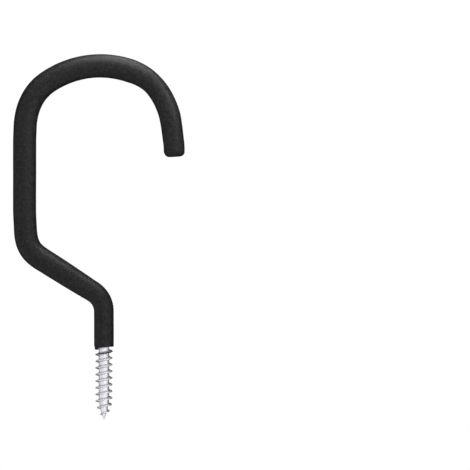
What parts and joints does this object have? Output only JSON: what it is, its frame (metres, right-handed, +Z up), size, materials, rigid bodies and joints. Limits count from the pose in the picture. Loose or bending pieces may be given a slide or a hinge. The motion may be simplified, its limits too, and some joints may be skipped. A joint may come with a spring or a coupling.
{
  "type": "bicycle storage hook",
  "caption": "Ceiling hook for hanging a bicycle by its wheel: an offset J-shaped steel rod in black vinyl, with a wood screw and gimlet point at its top.",
  "frame": {"origin": "on the screw's axis at the end face of the coating, which meets the ceiling when the screw is fully home", "axes": "+Z up along the screw towards its point, with the hook hanging below; the rod's line lies in the XZ plane, the long back on the +X side and the free tip on the -X side"},
  "size_m": [0.0804, 0.011, 0.1706],
  "materials": {
    "zinc_plated_steel": "bright zinc plate",
    "black_vinyl": "dipped vinyl, matt with a fine grain"
  },
  "bodies": {
    "root": {"steel_screw_rod": "zinc_plated_steel", "vinyl_coating": "black_vinyl"}
  },
  "joints": []
}
